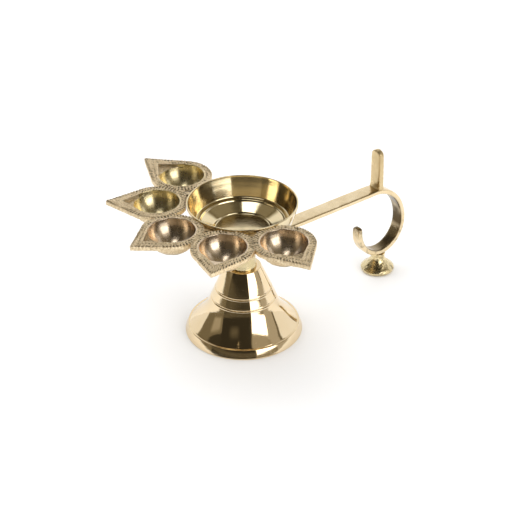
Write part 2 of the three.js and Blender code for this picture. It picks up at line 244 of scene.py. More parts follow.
def turned_brass(name, centre, pale, deep, smooth, dull, marks, drag):
    """Brass off the lathe and the buffing wheel: faint tool rings, finer polishing rings, cloudy
    finger smears in the gloss, and a slow drift between a paler and a deeper alloy colour. The
    finest rings drag every reflection out across themselves."""
    material, nodes, link, shader = new_material(name)
    spot, lathe, run = lathe_vector(nodes, link, centre)
    shader.inputs["Anisotropic"].default_value = drag
    shader.inputs["Anisotropic Rotation"].default_value = 0.25
    link(run, shader.inputs["Tangent"])
    cloud = noise_on(nodes, link, spot, 55, 4.0, 0.6, 0.4)
    alloy = blended(nodes, link, spread(nodes, link, cloud, 0, 1), pale, deep)
    link(soiled_and_shaded(nodes, link, alloy), shader.inputs["Base Color"])
    smear = noise_on(nodes, link, spot, 140, 5.0, 0.65, 0.8)
    link(spread(nodes, link, smear, smooth, dull), shader.inputs["Roughness"])
    broad = noise_on(nodes, link, lathe, 420, 2.0)
    fine = noise_on(nodes, link, lathe, 2600, 2.0)
    rings = bumped(nodes, link, broad, marks, 0.0002)
    link(bumped(nodes, link, fine, marks, 0.00005, rings), shader.inputs["Normal"])
    return material


bell_finish = turned_brass(
    "bell_polished_brass", lamp_axis, (0.84, 0.68, 0.45), (0.81, 0.64, 0.40), 0.035, 0.11, 0.10, 0.5
)

band_top = 5.1
ledge_radius = bell_radius - 1.8
flare_radius = ledge_radius - 1.2
crown_radius = 9.8
crown_ceiling = bell_height - 3.2
waist_rings = (21.5, 27.1)
ring_half_width, ring_depth, ring_burr = 0.36, 0.34, 0.05
# The bell's curve from the ledge to the crown, as shares of its width and height.
bell_sweep = [
    (1, 0), (0.763, 0.128), (0.54, 0.295), (0.379, 0.505), (0.225, 0.715), (0.08, 0.905), (0, 1),
]


def sweep_line(low, high):
    """The bell's curve, stretched between two (radius, height) points."""
    share = smooth_through(bell_sweep)
    return np.stack([
        high[0] + share[:, 0] * (low[0] - high[0]),
        low[1] + share[:, 1] * (high[1] - low[1]),
    ], 1)


band = rounded([
    (bell_radius - 1.2, 0), (bell_radius - 0.35, 0), (bell_radius, 0.55),
    (ledge_radius, band_top), (flare_radius + 0.15, band_top + 0.05), (flare_radius, band_top + 0.25),
], 0.3)
sweep = sweep_line((flare_radius, band_top + 0.25), (crown_radius, bell_height - 0.35))
sweep = relaxed(evened(sweep, 0.17), 41)
for ring_height in waist_rings:
    # A pointed tool leaves a V whose two lips are burnished up a little.
    away = (sweep[:, 1] - ring_height) / ring_half_width
    burr = np.exp(-((np.abs(away) - 1.35) ** 2) * 6)
    sweep[:, 0] -= ring_depth * np.clip(1 - np.abs(away), 0, 1) - ring_burr * burr
crown = rounded([
    (crown_radius, bell_height - 0.35), (crown_radius - 0.15, bell_height), (stud_bore, bell_height),
    (stud_bore, crown_ceiling), (crown_radius - 1.2, crown_ceiling),
    (crown_radius - 0.6, crown_ceiling - 0.5),
], 0.2, 4)
hollow = sweep_line(
    (flare_radius - 1.45, band_top - 0.6), (crown_radius - 0.6, crown_ceiling - 0.5)
)[::-1]
lip = rounded([
    hollow[-1], (flare_radius - 1.2, 2.8), (bell_radius - 3.2, 0), (bell_radius - 2.6, 0),
], 0.5, 4)
bell_profile = np.vstack([band, sweep[1:], crown[1:], hollow[1::3], lip[1:]])
skin("bell_foot", turned(bell_profile, 180), bell_finish, "base_bell", ring=True)


# ---- neck collar -----------------------------------------------------------------------------
# Short turned distance piece, slightly waisted, buffed but not mirror-polished. It stands on
# the bell's crown and carries the eye of the handle.

collar_low, collar_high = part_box("neck_collar")
collar_foot, collar_top = collar_low.z / MM - 0.25, collar_high.z / MM + 0.2
collar_radius = (collar_high.x - collar_low.x) / 2 / MM
# Its brass is set darker than the bell's as painted shade, for the shadowed table it reflects under the
# bowl and leaves.
collar_finish = turned_brass(
    "collar_satin_brass", lamp_axis, (0.76, 0.64, 0.39), (0.66, 0.54, 0.30), 0.18, 0.28, 0.30, 0.85
)
collar_profile = np.vstack([
    rounded([(stud_bore + 0.4, collar_foot), (collar_radius, collar_foot),
             (collar_radius, collar_foot + 0.5)], 0.25, 5),
    smooth_through([(collar_radius - 0.1, collar_foot + 0.9), (collar_radius - 0.45, collar_foot + 3),
                    (collar_radius - 0.55, collar_foot + 7), (collar_radius - 0.5, collar_top - 0.6)]),
    rounded([(collar_radius - 0.45, collar_top - 0.4), (collar_radius - 0.45, collar_top),
             (stud_bore + 0.4, collar_top), (stud_bore, collar_top - 0.3),
             (stud_bore, collar_foot + 0.3)], 0.25, 5),
])
skin("neck_collar_turned", turned(collar_profile, 120), collar_finish, "neck_collar",
     ring=True)


# ---- oil bowl --------------------------------------------------------------------------------
# Thin turned bowl on a short foot. Inside, a straight wall runs down to a narrow turned ledge,
# a shallower dish runs on from it to a flat floor, and the lip is left under a millimetre thick.

bowl_low, bowl_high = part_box("oil_bowl")
lip_height = bowl_high.z / MM
bowl_radius = (bowl_high.x - bowl_low.x) / 2 / MM
bowl_foot = bowl_low.z / MM - 0.25
underside = bowl_low.z / MM + 5.2
bowl_floor = lip_height - 16.0
ledge_height = lip_height - 11.5
ledge_inner = 22.4
floor_radius = 14.9
foot_radius, foot_waist = 8.4, 7.4
bowl_finish = turned_brass(
    "bowl_polished_brass", lamp_axis, (0.84, 0.71, 0.46), (0.79, 0.65, 0.39), 0.10, 0.18, 0.16, 0.85
)
bowl_outside = smooth_through([
    (foot_radius, underside), (15.5, bowl_floor - 1.3), (24.7, ledge_height - 1.2),
    (27.7, ledge_height + 4.8), (bowl_radius - 0.05, lip_height - 1.0),
])
bowl_lip = rounded([
    (bowl_radius - 0.05, lip_height - 1.0), (bowl_radius, lip_height), (bowl_radius - 0.85, lip_height),
    (bowl_radius - 0.9, lip_height - 0.6),
], 0.35, 6)
bowl_wall = rounded([
    (bowl_radius - 0.9, lip_height - 0.6), (ledge_inner + 2.6, ledge_height + 0.1),
    (ledge_inner + 1.9, ledge_height + 0.1),
], 0.5)
bowl_dish = rounded([
    (ledge_inner + 1.9, ledge_height + 0.1), (ledge_inner, ledge_height),
    (ledge_inner - 0.25, ledge_height - 0.75), (floor_radius + 0.4, bowl_floor + 0.75),
    (floor_radius, bowl_floor + 0.1), (floor_radius - 0.7, bowl_floor), (0.05, bowl_floor),
], 0.4, 6)
bowl_profile = np.vstack([
    rounded([(0.05, bowl_foot + 4.7), (stud_bore, bowl_foot + 4.7), (stud_bore, bowl_foot),
             (foot_radius, bowl_foot), (foot_radius, bowl_foot + 1), (foot_waist, bowl_foot + 2.2),
             (foot_waist, underside - 1), (foot_radius, underside)], 0.4, 5),
    evened(bowl_outside, 0.5)[1:], bowl_lip[1:],
    evened(bowl_wall, 0.3)[1:], evened(bowl_dish, 0.22)[1:],
])
skin("oil_bowl_turned", turned(bowl_profile, 200), bowl_finish, "oil_bowl")


# ---- leaf cups -------------------------------------------------------------------------------
# Five small castings from one pattern: a pointed leaf with a round cup sunk in it and a shallow
# wick channel running out to the point. The cups are bored and polished; the rims are left
# rough, then stippled with a punch and notched along their edges with a chisel, each by hand.

leaf_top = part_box("leaf_cup_3")[1].z / MM
leaf_thickness = 2.5
cup_radius, cup_depth, cup_wall = 12.2, 11.3, 1.3
rim_width = 4.3
channel_start, channel_point = 8.5, 18.0
channel_deep, channel_shallow = 2.0, 1.2
edge_round = 0.25                # how far the leaves' free edges are rounded over
chisel_pitch, chisel_depth = 1.8, 0.85
dot_pitch, dot_radius, dot_depth = 2.1, 0.48, 0.42
step_pitch = 1.5
cup_reach = bowl_radius + 3.3 + cup_radius
leaf_pitch = 2 * math.asin((cup_radius + 3.3) / cup_reach)
neighbour_line = cup_reach * math.sin(leaf_pitch / 2) + 0.05


def chased_brass(name, sand, glint, bored, gloss, pitting, drag=0.0):
    """Cast and bored brass in one material. The piece's polish mask says where it has been bored
    smooth; elsewhere it is sandy and pitted, with dark grime in its pits and pale rubbed highs,
    and browned as painted shade where the piece's mask carries shade as well as grime.
    Where the tool drags the reflections out, run_x and run_y masks say which way it went."""
    material, nodes, link, shader = new_material(name)
    coords = nodes.new("ShaderNodeTexCoord").outputs["Object"]
    polish = nodes.new("ShaderNodeAttribute")
    polish.attribute_name = "polish"
    share = polish.outputs["Fac"]
    pits = noise_on(nodes, link, coords, 1300, 4.0, 0.7)
    patches = noise_on(nodes, link, coords, 240, 3.0, 0.6)
    cast = blended(nodes, link, spread(nodes, link, pits, 0, 1, 0.36, 0.62), sand, glint)
    cast = soiled_and_shaded(nodes, link, cast)
    deeper = tuple(part * 0.82 for part in bored)
    inside = blended(nodes, link, spread(nodes, link, patches, 0, 1), bored, deeper)
    link(blended(nodes, link, share, cast, inside), shader.inputs["Base Color"])
    dull = spread(nodes, link, pits, gloss + 0.2, gloss, 0.36, 0.62)
    bright = spread(nodes, link, patches, 0.22, 0.32)
    if drag > 0:
        run = nodes.new("ShaderNodeCombineXYZ")
        for axis in "xy":
            run_mask = nodes.new("ShaderNodeAttribute")
            run_mask.attribute_name = f"run_{axis}"
            link(run_mask.outputs["Fac"], run.inputs[axis.upper()])
        link(run.outputs["Vector"], shader.inputs["Tangent"])
        shader.inputs["Anisotropic"].default_value = drag
        shader.inputs["Anisotropic Rotation"].default_value = 0.25
    mixed = nodes.new("ShaderNodeMix")
    link(share, mixed.inputs["Factor"])
    link(dull, mixed.inputs["A"])
    link(bright, mixed.inputs["B"])
    link(mixed.outputs["Result"], shader.inputs["Roughness"])
    unpolished = nodes.new("ShaderNodeMath")
    unpolished.operation = "SUBTRACT"
    unpolished.inputs[0].default_value = 1.0
    link(share, unpolished.inputs[1])
    height = nodes.new("ShaderNodeMath")
    height.operation = "MULTIPLY"
    link(pits, height.inputs[0])
    link(unpolished.outputs["Value"], height.inputs[1])
    link(bumped(nodes, link, height.outputs["Value"], pitting, 0.0005), shader.inputs["Normal"])
    return material


def grain(points, size, seed):
    """Value noise from -1 to 1: a random height at each corner of a cubic lattice of that cell
    size, blended by smoothstep between the eight corners round a point."""
    q = points / size
    cell = np.floor(q).astype(np.int64)
    part = q - cell
    part = part * part * (3 - 2 * part)
    total = np.zeros(points.shape[:-1])
    for corner in np.ndindex(2, 2, 2):
        n = cell + np.array(corner)
        h = n[..., 0] * 73856093 ^ n[..., 1] * 19349663 ^ n[..., 2] * 83492791 ^ seed * 2654435761
        h = (h ^ (h >> 13)) * 1274126177
        h = h ^ (h >> 16)
        weight = np.prod(np.where(np.array(corner) == 1, part, 1 - part), axis=-1)
        total += weight * ((h & 0xFFFF) / 32767.5 - 1)
    return total


def raised(grid, height, ring=False):
    """Moves each point of a grid along its surface's normal, the cross product of the row and
    column directions, by the given height."""
    along = np.gradient(grid, axis=0)
    if ring:
        along = np.roll(grid, -1, 0) - np.roll(grid, 1, 0)
    across = np.roll(grid, -1, 1) - np.roll(grid, 1, 1)
    normal = np.cross(across, along)
    normal /= np.maximum(np.linalg.norm(normal, axis=2, keepdims=True), 1e-9)
    return grid + normal * np.asarray(height)[..., None]


def teardrop_edge(angle, radius, point):
    """Distance from the cup's centre to a teardrop's edge: the circle's radius at the back, and
    radius / cos(angle from the tangent point) along the straight flanks to the point."""
    tangent = math.acos(radius / point)
    off = np.abs(angle)
    return np.where(off < tangent, radius / np.cos(np.clip(tangent - off, 0, 1.5)), radius)


def line_edge(angle, distance, facing):
    """Distance to a straight line that lies that far off, square to the facing angle."""
    lean = np.cos(angle - facing)
    return np.where(lean > 0.05, distance / np.maximum(lean, 0.05), 1e3)


def bowl_edge(angle, radius):
    """Distance from the cup's centre to the bowl's circle about the lamp's axis."""
    ahead = -cup_reach * np.cos(angle)
    inside = ahead**2 - (cup_reach**2 - radius**2)
    return np.where((inside > 0) & (ahead > 0), ahead - np.sqrt(np.maximum(inside, 0)), 1e3)


def eased(x):
    """Smoothstep: held to 0..1, then 3 x squared less 2 x cubed."""
    x = np.clip(x, 0, 1)
    return x * x * (3 - 2 * x)


def leaf_cup(index, point, channel, columns=560):
    """Rows run from the cup's bottom up its wall, along the channel, over the rim, down the
    edge, back under the plate and down the dome; columns run round the cup's centre."""
    angle = np.linspace(-np.pi, np.pi, columns, endpoint=False)
    outline = teardrop_edge(angle, cup_radius + rim_width, point)
    edge = np.minimum(outline, bowl_edge(angle, bowl_radius + 0.1))
    free = np.ones(columns)
    for side, joined in ((-1, index > 1), (1, index < 5)):
        if joined:
            facing = side * (math.pi / 2 + leaf_pitch / 2)
            seam = line_edge(angle, neighbour_line, facing)
            free = np.where(seam <= edge, 0, free)
            edge = np.minimum(edge, seam)
    kernel = np.array([1, 2, 3, 2, 1]) / 9
    edge = np.convolve(np.concatenate([edge[-2:], edge, edge[:2]]), kernel, "valid")
    free = np.convolve(np.concatenate([free[-2:], free, free[:2]]), kernel, "valid")
    mouth = math.acos(cup_radius / channel_point)
    in_mouth = eased((mouth + 0.12 - np.abs(angle)) / 0.12)
    opening = teardrop_edge(angle, cup_radius, channel_point)

    def rows(count, first=0.0):
        return np.linspace(first, 1, count)[:, None]

    def channel_depth(reach):
        along_leaf = (reach * np.cos(angle) - channel_start) / (channel_point - channel_start)
        depth = channel_deep + (channel_shallow - channel_deep) * np.clip(along_leaf, 0, 1)
        return depth * in_mouth + 0.12 * (1 - in_mouth)

    rise = np.arccos(channel_depth(cup_radius) / cup_depth)
    t = rows(56, 0.003)
    wall = cup_radius * np.sin(t * rise), -cup_depth * np.cos(t * rise)
    t = rows(18)
    lead = wall[0][-1] + 0.08
    channel_out = lead + t * np.maximum(opening - 0.25 - lead, 0.05)
    channel_floor = -channel_depth(channel_out)
    t = rows(6, 0.16)
    step = channel_out[-1] + 0.3 * t**1.5, channel_floor[-1] * (1 - t)
    t = rows(30, 0.03)
    rim_out = step[0][-1] + t * (edge - edge_round * free - step[0][-1])
    t = rows(9, 0.1)
    bevel = np.minimum(t / 0.25, 1)
    side = edge - edge_round * free * (1 - bevel) ** 2, -t * leaf_thickness
    shell = cup_radius + cup_wall
    shell_depth = cup_depth + cup_wall
    shell_out = shell * math.sqrt(1 - (leaf_thickness / shell_depth) ** 2)
    t = rows(10, 0.1)
    under = edge - t * (edge - shell_out - 0.1), -leaf_thickness + 0 * edge
    t = rows(28, 0.03)
    fall = math.acos(leaf_thickness / shell_depth) * (1 - t) + 0.004
    dome = shell * np.sin(fall), -shell_depth * np.cos(fall)

    parts = [wall, (channel_out, channel_floor), step, (rim_out, 0 * rim_out), side, under, dome]
    names = ["wall", "channel", "step", "rim", "side", "under", "dome"]
    out = np.vstack([np.broadcast_to(p[0], (len(p[0]), columns)) for p in parts])
    up = np.vstack([np.broadcast_to(p[1], (len(p[0]), columns)) for p in parts])
    zone = np.concatenate([[name] * len(p[0]) for name, p in zip(names, parts)])
    grid = np.stack([cup_reach + out * np.cos(angle), out * np.sin(angle), leaf_top + up], 2)

    # Hand work, as heights in millimetres above the smooth leaf.
    is_rim = (zone == "rim")[:, None]
    is_side = (zone == "side")[:, None]
    is_cast = np.isin(zone, ["side", "under", "dome"])[:, None]
    past_cup = opening > cup_radius + 0.3
    is_channel = (zone == "channel")[:, None] & past_cup
    seed = 11 * index
    stipple = 0.24 * grain(grid, 1.3, seed) + 0.13 * grain(grid, 0.6, seed + 1) - 0.10
    border = np.clip((out - opening) / 0.9, 0, 1) ** 2
    height = is_rim * (stipple * border + 0.04 * (1 - border))
    height = height + is_cast * (0.12 * grain(grid, 1.7, seed + 2) + 0.06 * grain(grid, 0.7, seed + 3))
    round_step = np.hypot(*np.diff(np.stack([edge * np.cos(angle), edge * np.sin(angle)]), axis=1))
    round_run = np.concatenate([[0], np.cumsum(round_step)])
    from_edge = edge - out
    stray = 0.15 * grain(grid, 4.0, seed + 4)
    chisel = np.clip(np.cos(2 * np.pi * (round_run / chisel_pitch + stray)), 0, 1)
    bite = eased(0.85 + 0.9 * grain(grid, 8.0, seed + 5))
    cut = chisel_depth * chisel * bite * np.clip(1.2 - from_edge / 2.0, 0, 1)
    height = height - is_rim * cut - is_side * 0.5 * chisel * bite * np.clip(1 + up / 1.3, 0, 1)
    land = np.maximum(edge - opening, 0.1)
    beat = round_run / dot_pitch
    dot = np.hypot((beat - np.floor(beat) - 0.5) * dot_pitch, (out - opening) - 0.36 * land)
    struck = eased(0.7 + grain(grid, 9.0, seed + 6))
    height = height - is_rim * dot_depth * np.exp(-((dot / dot_radius) ** 2)) * struck
    if channel == "rough":
        crumbs = 0.32 * grain(grid, 1.3, seed + 7) + 0.14 * grain(grid, 0.6, seed + 8)
        height = height + is_channel * crumbs
    if channel == "stepped":
        wave = np.cos(2 * np.pi * (out * np.cos(angle) - 9) / step_pitch)
        height = height + is_channel * 0.26 * np.tanh(3 * wave)
    ring_run = np.arange(1, len(wall[0]) + 1) * 0.34          # the boring tool leaves faint rings
    height[: len(wall[0])] += (0.007 * np.sin(2 * np.pi * ring_run / 1.9))[:, None]
    height = height + (zone == "wall")[:, None] * 0.010 * grain(grid, 3.0, seed + 9)
    # Grime in the punched dots and chisel cuts; then painted shade: the channel floor a little, its step
    # up to the rim more, the plate's underside strongly, and the dome darker towards its bottom.
    dirt_and_shade = eased((-height - 0.16) / 0.30) * 0.9
    dirt_and_shade = np.maximum(dirt_and_shade, is_channel * 0.15)
    dirt_and_shade = np.maximum(dirt_and_shade, (zone == "under")[:, None] * 0.75)
    dirt_and_shade = np.maximum(dirt_and_shade, (zone == "dome")[:, None] * (0.1 + 0.9 * eased((-up - 7.0) / 5.0)))
    dirt_and_shade = np.maximum(dirt_and_shade, (zone == "step")[:, None] * past_cup * 0.55)
    grid = raised(grid, -height)
    polish = np.zeros(grid.shape[:2])
    polish[zone == "wall"] = 1.0
    polish[zone == "channel"] = np.where(past_cup, 0.8 if channel == "smooth" else 0.0, 1.0)
    polish[zone == "step"] = np.where(past_cup, 0.0, 1.0)
    run_angle = angle + math.pi + (index - 3) * leaf_pitch
    return grid, {"polish": polish, "dirt_and_shade": dirt_and_shade * (1 - polish),
                  "run_x": -np.sin(run_angle), "run_y": np.cos(run_angle)}


def swung(grid, turn):
    """The grid turned about the lamp's axis."""
    x, y, z = np.moveaxis(grid, 2, 0)
    c, s = math.cos(turn), math.sin(turn)
    return np.stack([x * c - y * s, x * s + y * c, z], 2)


cast_skin, rubbed_skin = (0.68, 0.51, 0.29), (1.0, 0.84, 0.58)
# Two melts went into the five leaves: the first two cups polish yellower than the other three.
yellow_finish, pink_finish = (
    chased_brass(name, cast_skin, rubbed_skin, bored, 0.32, 0.6, 0.7)
    for name, bored in (
        ("leaf_yellow_brass", (0.84, 0.71, 0.42)), ("leaf_pink_brass", (0.82, 0.665, 0.485)),
    )
)
leaf_points = [29.15, 27.2, 26.2, 26.3, 26.65]
leaf_channels = ["rough", "rough", "stepped", "smooth", "stepped"]
for number, (leaf_point, leaf_channel) in enumerate(zip(leaf_points, leaf_channels), start=1):
    leaf_grid, leaf_masks = leaf_cup(number, leaf_point, leaf_channel)
    leaf_turn = math.pi + (number - 3) * leaf_pitch
    leaf_finish = yellow_finish if number <= 2 else pink_finish
    skin(f"leaf_{number}_chased", swung(leaf_grid, leaf_turn), leaf_finish,
         f"leaf_cup_{number}", masks=leaf_masks)


# ---- brazed webs -----------------------------------------------------------------------------
# Rough spelter run in from below where two leaves and the bowl leave a three-cornered gap. One
# is filled flush and filed with the rims; two stay low, dark and lumpy.

def leaf_web(top, thickness, seed):
    """Rows run outwards from the bowl to where the two leaves meet. Each row is a flat loop that
    spans the angle left between the two leaf circles at that radius."""
    near, far = bowl_radius - 0.25, cup_reach * math.cos(leaf_pitch / 2) - 5.4
    r = np.linspace(near, far, 40)[:, None]
    outer = cup_radius + rim_width
    leaf_half = np.arccos(np.clip((r**2 + cup_reach**2 - outer**2) / (2 * r * cup_reach), -1, 1))
    half = np.maximum(leaf_pitch / 2 - leaf_half, 0.004)
    loop = np.linspace(0, 2 * np.pi, 72, endpoint=False)
    across = np.sign(np.cos(loop)) * np.abs(np.cos(loop)) ** 0.35
    lift = np.sign(np.sin(loop)) * np.abs(np.sin(loop)) ** 0.35
    angle = across * half
    z = top - thickness / 2 + lift * thickness / 2 + 0 * r
    grid = np.stack([r * np.cos(angle), r * np.sin(angle), z], 2)
    height = 0.30 * grain(grid, 1.5, seed) + 0.14 * grain(grid, 0.6, seed + 1)
    return raised(grid, height), eased((0.10 - height) / 0.3)


web_finish = chased_brass(
    "web_spelter_brass", cast_skin, rubbed_skin, (0.80, 0.66, 0.47), 0.32, 0.6
)
web_thickness = 2.0
for name, after_leaf in (("web_1_2", 1.5), ("web_3_4", 3.5), ("web_4_5", 4.5)):
    web_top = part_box(name)[1].z / MM - 0.2
    web_grid, web_pits = leaf_web(web_top, web_thickness, int(after_leaf * 10))
    web_turn = math.pi + (after_leaf - 3) * leaf_pitch
    skin(f"{name}_brazed", swung(web_grid, web_turn), web_finish, name,
         masks={"dirt_and_shade": web_pits})


# ---- handle strap ----------------------------------------------------------------------------
# Flat brass bar, forged round at one end for the stud and bent at the other into the finger
# hook. Its faces are draw-filed along their length and its arrises are eased with the file.

strap_low, strap_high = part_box("handle_strap")
bar_top = strap_high.z / MM
strap_thickness = 2.7
bar_middle = bar_top - strap_thickness / 2
hook_bottom = strap_low.z / MM + strap_thickness / 2
hook_far = (strap_high.x - lamp_axis[0]) / MM - strap_thickness / 2
hook_out, hook_in, hook_fall = 15.3, 16.1, 17.0      # from the hook's middle: away, back, down
tip_rise = 3.9
hook_low_x = hook_far - hook_out
hook_belly = hook_bottom + hook_fall
bend_start = hook_low_x - 7.0


def drawn_brass(name, pale, deep, stretch, smooth, dull, strength):
    """Filed and buffed bar stock: scratches stretched along one direction by the mapping's
    scale, patches of closer polish, and a warm drift in colour."""
    material, nodes, link, shader = new_material(name)
    coords = nodes.new("ShaderNodeTexCoord")
    place = nodes.new("ShaderNodeMapping")
    place.inputs["Scale"].default_value = stretch
    link(coords.outputs["Object"], place.inputs["Vector"])
    scratches = noise_on(nodes, link, place.outputs["Vector"], 900, 4.0, 0.7)
    patches = noise_on(nodes, link, coords.outputs["Object"], 120, 4.0, 0.6, 0.5)
    alloy = blended(nodes, link, spread(nodes, link, patches, 0, 1), pale, deep)
    link(soiled_and_shaded(nodes, link, alloy), shader.inputs["Base Color"])
    link(spread(nodes, link, patches, smooth, dull), shader.inputs["Roughness"])
    lumps = bumped(nodes, link, patches, 0.25, 0.0006)
    link(bumped(nodes, link, scratches, strength, 0.00012, lumps), shader.inputs["Normal"])
    return material


strap_finish = drawn_brass(
    "strap_filed_brass", (0.86, 0.71, 0.47), (0.79, 0.62, 0.37), (0.06, 1, 1), 0.15, 0.27, 0.30
)


def strap_section(path, width, thickness, columns=64, squareness=6.0):
    """Superellipse carried along a line in the lamp's X-Z plane: across the strap it follows Y,
    and through its thickness it follows the line's own normal."""
    along = np.gradient(path, axis=0)
    along /= np.linalg.norm(along, axis=1, keepdims=True)
    normal = np.stack([-along[:, 1], along[:, 0]], 1)
    loop = np.linspace(0, 2 * np.pi, columns, endpoint=False)
    power = 2 / squareness
    across = np.sign(np.cos(loop)) * np.abs(np.cos(loop)) ** power
    through = np.sign(np.sin(loop)) * np.abs(np.sin(loop)) ** power
    y = across * np.reshape(width, (-1, 1)) / 2
    offset = through * np.reshape(thickness, (-1, 1)) / 2
    x = path[:, :1] + normal[:, :1] * offset
    z = path[:, 1:] + normal[:, 1:] * offset
    return np.stack([x, y, z], 2)


def elliptic(centre, reach, start, stop, count=60):
    """Arc of an ellipse about a centre, from one angle to another, in degrees."""
    angle = np.radians(np.linspace(start, stop, count, endpoint=False))
    return np.stack([centre[0] + reach[0] * np.cos(angle), centre[1] + reach[1] * np.sin(angle)], 1)


def inset(path, amount):
    """The line moved towards the inside of its bend by an amount at each point."""
    along = np.gradient(path, axis=0)
    along /= np.linalg.norm(along, axis=1, keepdims=True)
    return path - np.stack([-along[:, 1], along[:, 0]], 1) * amount[:, None]


hook_line = np.vstack([
    [(5.0, bar_middle), (40.0, bar_middle)],
    elliptic((bend_start, hook_belly), (hook_far - bend_start, bar_middle - hook_belly), 90, 0),
    elliptic((hook_low_x, hook_belly), (hook_out, hook_fall), 0, -90),
    elliptic((hook_low_x, hook_belly), (hook_in, hook_fall), -90, -180),
    [(hook_low_x - hook_in, hook_belly), (hook_low_x - hook_in, hook_belly + tip_rise)],
])
hook_path = evened(hook_line, 0.45)
from_start = np.concatenate([[0], np.cumsum(np.linalg.norm(np.diff(hook_path, axis=0), axis=1))])
to_tip = from_start[-1] - from_start
strap_width = np.interp(to_tip, [0, 20, 75, 84, 95], [5.8, 7.3, 8.0, 8.6, 9.5])
strap_gauge = np.interp(to_tip, [0, 6, 30, 78, 90], [3.1, 3.1, 3.1, 3.1, 2.7])
hook_path = inset(hook_path, (strap_gauge - strap_thickness) / 2)
tip_round = np.sqrt(np.clip(1 - np.clip(1 - to_tip / 2.3, 0, 1) ** 2, 0.02, 1))
strap_grid = strap_section(hook_path, strap_width * tip_round, strap_gauge * np.sqrt(tip_round))
strap_height = 0.05 * grain(strap_grid, 6.0, 71) + 0.02 * grain(strap_grid, 1.5, 72) - 0.06
cast_end = eased(1 - to_tip / 11.0)[:, None]
strap_height += (0.16 * grain(strap_grid, 1.1, 73) - 0.10) * cast_end
# The inside face of the hook is browned as painted shade, less so towards its tip; grime stays in the
# casting's pits and in dark speckles along the hook.
hook_inside = np.clip(-1.3 * np.sin(np.linspace(0, 2 * np.pi, 64, endpoint=False)), 0, 1)
in_hook = eased((84 - to_tip) / 10.0) * (1 - 0.55 * eased(1 - to_tip / 34.0))
strap_dirt_and_shade = hook_inside * in_hook[:, None] * (0.80 + 0.35 * grain(strap_grid, 3.5, 74))
strap_dirt_and_shade = np.maximum(strap_dirt_and_shade, cast_end * 0.8 * eased(-(strap_height + 0.02) / 0.2))
speckle = np.clip(1.5 * grain(strap_grid, 2.2, 75) + 0.7 * grain(strap_grid, 0.9, 76) - 0.35, 0, 1)
strap_dirt_and_shade = np.maximum(strap_dirt_and_shade, 0.55 * speckle * eased((62 - to_tip) / 12.0)[:, None])
skin("handle_and_hook", raised(strap_grid, strap_height), strap_finish, "handle_strap",
     masks={"dirt_and_shade": np.clip(strap_dirt_and_shade, 0, 1)})

eye_radius = -(strap_low.x - lamp_axis[0]) / MM
eye_profile = rounded([
    (stud_bore, bar_middle), (stud_bore, bar_top), (eye_radius, bar_top),
    (eye_radius, bar_top - strap_thickness), (stud_bore, bar_top - strap_thickness),
    (stud_bore, bar_middle - 0.1),
], 0.4, 5)
skin("handle_eye", turned(eye_profile, 120), strap_finish, "handle_strap", ring=True)


# ---- thumb rest ------------------------------------------------------------------------------
# Upright lug with an arched head, brazed across the bar where the hook begins. The braze leaves
# a small fillet round its foot, and its edges are filed round.

thumb_low, thumb_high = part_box("thumb_rest")
thumb_middle = ((thumb_low.x + thumb_high.x) / 2 - lamp_axis[0]) / MM
thumb_top = thumb_high.z / MM
thumb_gauge = (thumb_high.x - thumb_low.x) / MM
thumb_rise = evened(np.array([(thumb_middle, bar_top - 0.3), (thumb_middle, thumb_top - 0.02)]), 0.2)
above_bar = thumb_rise[:, 1] - bar_top
head_start = thumb_top - 3.3     # the arched head takes up the last few millimetres
head = np.clip((thumb_rise[:, 1] - head_start) / (thumb_top - head_start), 0, 1)
thumb_width = np.interp(thumb_rise[:, 1], [bar_top, head_start], [8.5, 7.8])
thumb_width = thumb_width * np.sqrt(1 - 0.995 * head**2)
fillet = np.exp(-np.clip(above_bar, 0, None) / 0.7)
thumb_width = thumb_width + 0.5 * fillet
thumb_depth = thumb_gauge * (1 - 0.35 * head**6) + 0.8 * fillet
thumb_grid = strap_section(thumb_rise, thumb_width, thumb_depth, squareness=4.5)
thumb_height = 0.05 * grain(thumb_grid, 4.0, 81) + 0.03 * grain(thumb_grid, 1.2, 82)
thumb_finish = drawn_brass(
    "thumb_filed_brass", (0.74, 0.58, 0.33), (0.60, 0.46, 0.25), (1, 1, 0.12), 0.22, 0.38, 0.45
)
skin("thumb_rest_filed", raised(thumb_grid, -thumb_height), thumb_finish, "thumb_rest")


# ---- rest foot -------------------------------------------------------------------------------
# Small cast button under the hook, roughly turned and then tumbled, so it is glossy but lumpy.
# Its neck is hollowed to the hook's curve and brazed to it.

rest_low, rest_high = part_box("rest_foot")
rest_x = ((rest_low.x + rest_high.x) / 2 - lamp_axis[0]) / MM
rest_radius = (rest_high.x - rest_low.x) / 2 / MM
neck_radius = 4.0
neck_start, neck_top = 9.0, 11.6
rest_profile = evened(np.vstack([
    rounded([(0.05, 0), (rest_radius - 1.2, 0), (rest_radius, 1.0), (rest_radius, 2.1),
             (rest_radius - 0.9, 3.2)], 0.8),
    smooth_through([(rest_radius - 0.9, 3.2), (rest_radius - 3.0, 4.9), (neck_radius + 0.7, 7.1),
                    (neck_radius, neck_start), (neck_radius + 0.25, 10.6)])[1:],
    [(neck_radius + 0.25, 11.4), (neck_radius - 0.4, neck_top), (0.05, neck_top)],
]), 0.25)
rest_grid = turned(rest_profile, 110)
